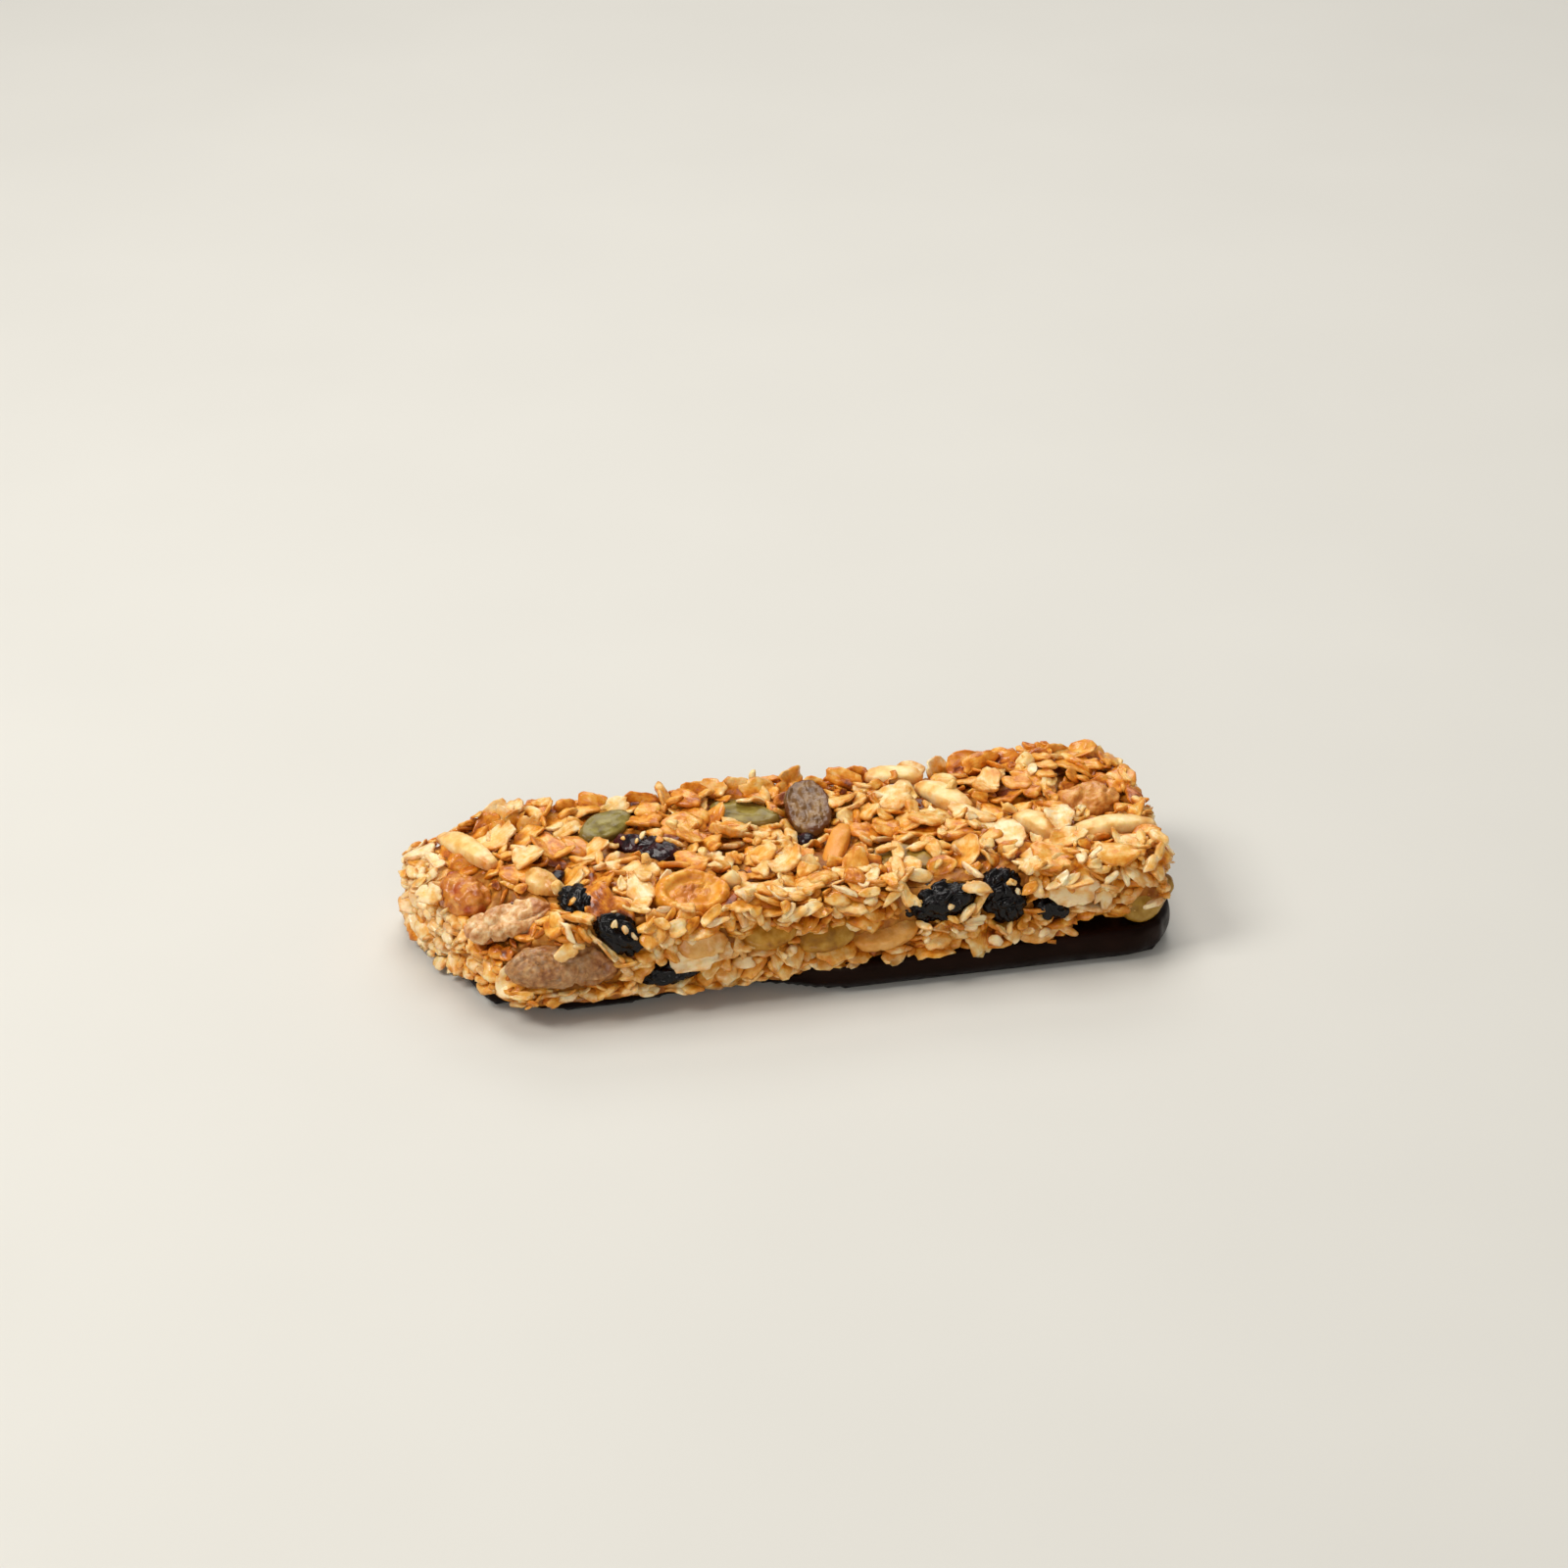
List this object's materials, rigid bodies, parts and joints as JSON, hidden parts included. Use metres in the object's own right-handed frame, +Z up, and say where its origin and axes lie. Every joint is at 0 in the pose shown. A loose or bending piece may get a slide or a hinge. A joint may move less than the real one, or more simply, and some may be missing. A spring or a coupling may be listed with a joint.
{
  "type": "granola bar",
  "caption": "Pressed bar of toasted oats with dried fruit, seeds and nuts on a dark chocolate base, resting flat on its chocolate.",
  "frame": {"origin": "middle of the flat chocolate face that the bar rests on", "axes": "+X along the bar's length, +Y across it to the back, +Z up out of the oats"},
  "size_m": [0.1285, 0.0447, 0.0216],
  "materials": {
    "oats": "toasted rolled oats under a thin syrup glaze",
    "chocolate": "dark chocolate with a soft sheen",
    "raisin": "wrinkled glossy raisin skin",
    "cranberry": "wrinkled dark red dried fruit",
    "seed": "olive green shelled seed with a satin skin",
    "roasted_seed": "roasted grey brown seed, glazed",
    "walnut": "tan kernel with brown skin in its folds",
    "almond_skin": "caramelised red brown nut",
    "almond": "smooth cream slivered nut",
    "peanut": "roasted golden nut half",
    "chip": "golden candied fruit chip"
  },
  "bodies": {
    "root": {"raisin_1": "raisin", "raisin_2": "raisin", "raisin_3": "raisin", "raisin_4": "raisin", "raisin_5": "raisin", "raisin_6": "raisin", "raisin_7": "raisin", "raisin_8": "raisin", "raisin_9": "raisin", "cranberry_1": "cranberry", "cranberry_2": "cranberry", "roasted_seed_1": "roasted_seed", "green_seed_1": "seed", "green_seed_2": "seed", "green_seed_3": "seed", "green_seed_4": "seed", "green_seed_5": "seed", "green_seed_6": "seed", "green_seed_7": "seed", "green_seed_8": "seed", "walnut_1": "walnut", "walnut_2": "walnut", "walnut_3": "walnut", "skinned_almond_1": "almond_skin", "skinned_almond_2": "almond_skin", "almond_sliver_1": "almond", "almond_sliver_2": "almond", "almond_sliver_3": "almond", "almond_sliver_4": "almond", "almond_sliver_5": "almond", "almond_sliver_6": "almond", "nut_half_1": "peanut", "nut_half_2": "peanut", "nut_half_3": "peanut", "fruit_chip_1": "chip", "chocolate_base": "chocolate", "granola": "oats"}
  },
  "joints": []
}
